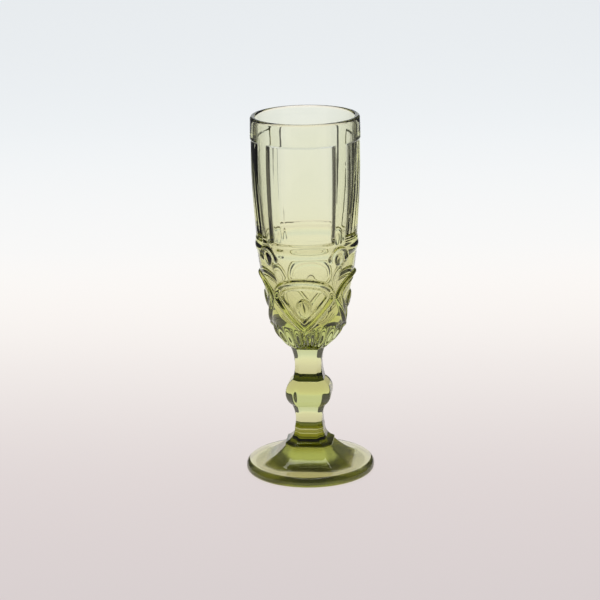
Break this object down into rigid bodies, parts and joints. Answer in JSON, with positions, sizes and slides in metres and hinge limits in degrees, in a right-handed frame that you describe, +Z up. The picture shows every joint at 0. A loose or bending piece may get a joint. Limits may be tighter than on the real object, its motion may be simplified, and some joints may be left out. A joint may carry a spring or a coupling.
{
  "type": "champagne flute",
  "caption": "Champagne flute of pressed green glass: tall panelled bowl with a relief band, faceted stem with a knop, and a round foot.",
  "frame": {"origin": "centre of the plane that the foot rests on", "axes": "+Z up along the stem, from the foot to the mouth; the middle of one broad panel faces -Y"},
  "size_m": [0.0712, 0.0712, 0.2],
  "materials": {
    "green_glass": "polished"
  },
  "bodies": {
    "root": {"bowl": "green_glass", "upper_stem": "green_glass", "knop": "green_glass", "lower_stem": "green_glass", "collar": "green_glass", "foot": "green_glass"}
  },
  "joints": []
}
